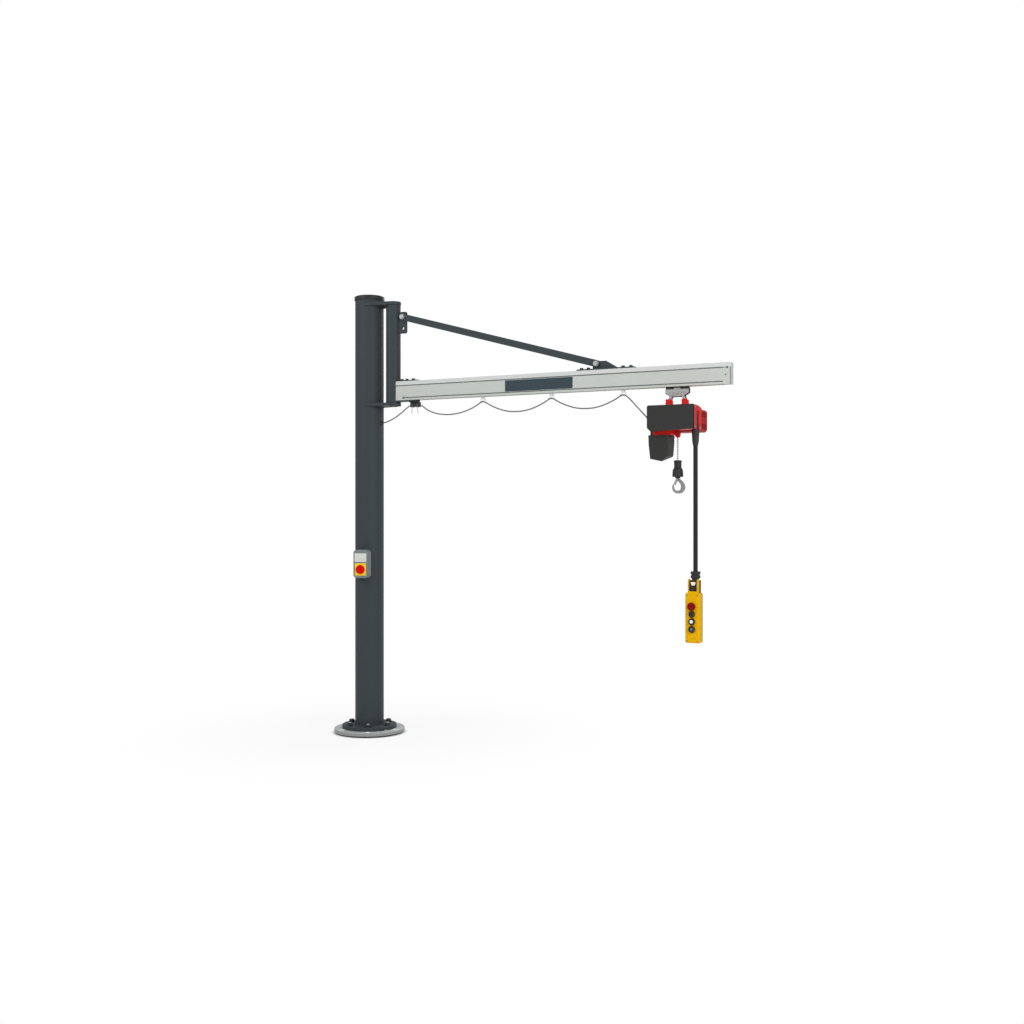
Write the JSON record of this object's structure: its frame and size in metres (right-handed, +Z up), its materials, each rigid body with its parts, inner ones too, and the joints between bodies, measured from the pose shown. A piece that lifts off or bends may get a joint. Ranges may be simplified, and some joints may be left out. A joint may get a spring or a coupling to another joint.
{
  "type": "jib crane",
  "caption": "Column-mounted slewing jib crane with a tie rod, a track trolley and an electric chain hoist worked from a hanging push-button pendant",
  "frame": {"origin": "on the floor at the column axis, in the underside of the anchor plate", "axes": "+Z up, +X along the jib at rest, -Y the side that carries the switch's front"},
  "size_m": [2.4074, 0.413, 2.575],
  "materials": {
    "column_paint": "satin dark grey paint",
    "plate_paint": "light grey paint",
    "profile_paint": "extruded aluminium with a light grey coat",
    "dark_plastic": "dark plastic",
    "bright_steel": "zinc-plated steel",
    "switch_grey": "blue-grey plastic",
    "white_plastic": "white",
    "yellow_plastic": "yellow",
    "red_plastic": "red",
    "hoist_red": "red paint",
    "motor_red": "dark red paint",
    "cable_grey": "grey cable sheath",
    "hose_black": "black rubber",
    "hook_steel": "forged steel",
    "dark_steel": "dark zinc flake"
  },
  "bodies": {
    "column": {"anchor_plate": "plate_paint", "base_flange": "column_paint", "flange_bolts": "dark_steel", "column_tube": "column_paint", "column_cap": "dark_plastic", "bearing_arms": "column_paint", "cable_outlet": "dark_plastic", "switch_housing": "switch_grey", "switch_label_field": "white_plastic", "switch_escutcheon": "yellow_plastic"},
    "switch_knob": {"switch_knob": "red_plastic"},
    "jib": {"pivot_tube": "column_paint", "root_clamp_plates": "column_paint", "clamp_bolts": "dark_steel", "jib_profile": "profile_paint", "jib_end_cap": "profile_paint", "track_stops": "dark_plastic", "name_plate": "dark_plastic", "tie_bracket": "column_paint", "tie_rod": "column_paint", "tie_lug": "column_paint", "tie_bolts": "bright_steel", "cable_clamps": "dark_plastic", "supply_cable": "cable_grey", "festoon_1": "cable_grey", "festoon_2": "cable_grey", "festoon_3": "cable_grey", "festoon_4": "cable_grey"},
    "glider_1": {"glider_1": "white_plastic"},
    "glider_2": {"glider_2": "white_plastic"},
    "glider_3": {"glider_3": "white_plastic"},
    "trolley": {"trolley_body": "dark_plastic", "load_plates": "bright_steel", "suspension_links": "bright_steel", "hoist_housing": "hoist_red", "hoist_cover": "dark_plastic", "motor_cover": "motor_red", "chain_container": "dark_plastic", "hoist_glands": "dark_plastic", "control_hose": "hose_black", "pendant_gland": "dark_plastic", "pendant_body": "yellow_plastic", "load_chain": "bright_steel"},
    "estop": {"estop_button": "red_plastic"},
    "button_black": {"button_black": "dark_plastic"},
    "button_white": {"button_white": "dark_plastic"},
    "button_blue": {"button_blue": "dark_plastic"},
    "hook_block": {"hook_boot": "dark_plastic"},
    "hook": {"hook": "hook_steel"},
    "latch": {"hook_latch": "bright_steel"}
  },
  "joints": [
    {"name": "jib_slew", "type": "hinge", "parent": "column", "child": "jib", "pos_m": [0.167, 0, 1.95], "axis": [0, 0, 1], "range_deg": [-135, 135], "deforming": ["supply_cable"]},
    {"name": "switch_turn", "type": "hinge", "parent": "column", "child": "switch_knob", "pos_m": [0.0291, -0.137, 0.9665], "axis": [0.2079, -0.9781, 0], "range_deg": [0, 90]},
    {"name": "trolley_travel", "type": "slide", "parent": "jib", "child": "trolley", "axis": [1, 0, 0], "range_m": [-1.192, 0], "deforming": ["festoon_1", "festoon_2", "festoon_3", "festoon_4"]},
    {"name": "glider_1_travel", "type": "slide", "parent": "jib", "child": "glider_1", "axis": [1, 0, 0], "range_m": [-0.349, 0]},
    {"name": "glider_2_travel", "type": "slide", "parent": "jib", "child": "glider_2", "axis": [1, 0, 0], "range_m": [-0.721, 0]},
    {"name": "glider_3_travel", "type": "slide", "parent": "jib", "child": "glider_3", "axis": [1, 0, 0], "range_m": [-1.094, 0]},
    {"name": "hook_lift", "type": "slide", "parent": "trolley", "child": "hook_block", "axis": [0, 0, -1], "range_m": [-0.05, 1.25], "deforming": ["load_chain"]},
    {"name": "hook_swivel", "type": "hinge", "parent": "hook_block", "child": "hook", "pos_m": [1.912, 0, 1.47], "axis": [0, 0, 1], "continuous": true},
    {"name": "latch_pivot", "type": "hinge", "parent": "hook", "child": "latch", "pos_m": [1.9085, 0, 1.4705], "axis": [0, -1, 0], "range_deg": [0, 25], "stiffness_Nm_per_rad": 0.05, "springref_deg": -5.73},
    {"name": "estop_press", "type": "slide", "parent": "trolley", "child": "estop", "axis": [0.0523, 0.9986, 0], "range_m": [0, 0.004]},
    {"name": "button_black_press", "type": "slide", "parent": "trolley", "child": "button_black", "axis": [0.0523, 0.9986, 0], "range_m": [0, 0.004], "stiffness_N_per_m": 600, "springref_m": -0.002},
    {"name": "button_white_press", "type": "slide", "parent": "trolley", "child": "button_white", "axis": [0.0523, 0.9986, 0], "range_m": [0, 0.004], "stiffness_N_per_m": 600, "springref_m": -0.002},
    {"name": "button_blue_press", "type": "slide", "parent": "trolley", "child": "button_blue", "axis": [0.0523, 0.9986, 0], "range_m": [0, 0.004], "stiffness_N_per_m": 600, "springref_m": -0.002}
  ],
  "couplings": [
    {"joint": "glider_1_travel", "follows": "trolley_travel", "ratio": 0.2924},
    {"joint": "glider_2_travel", "follows": "trolley_travel", "ratio": 0.6032},
    {"joint": "glider_3_travel", "follows": "trolley_travel", "ratio": 0.9094}
  ]
}
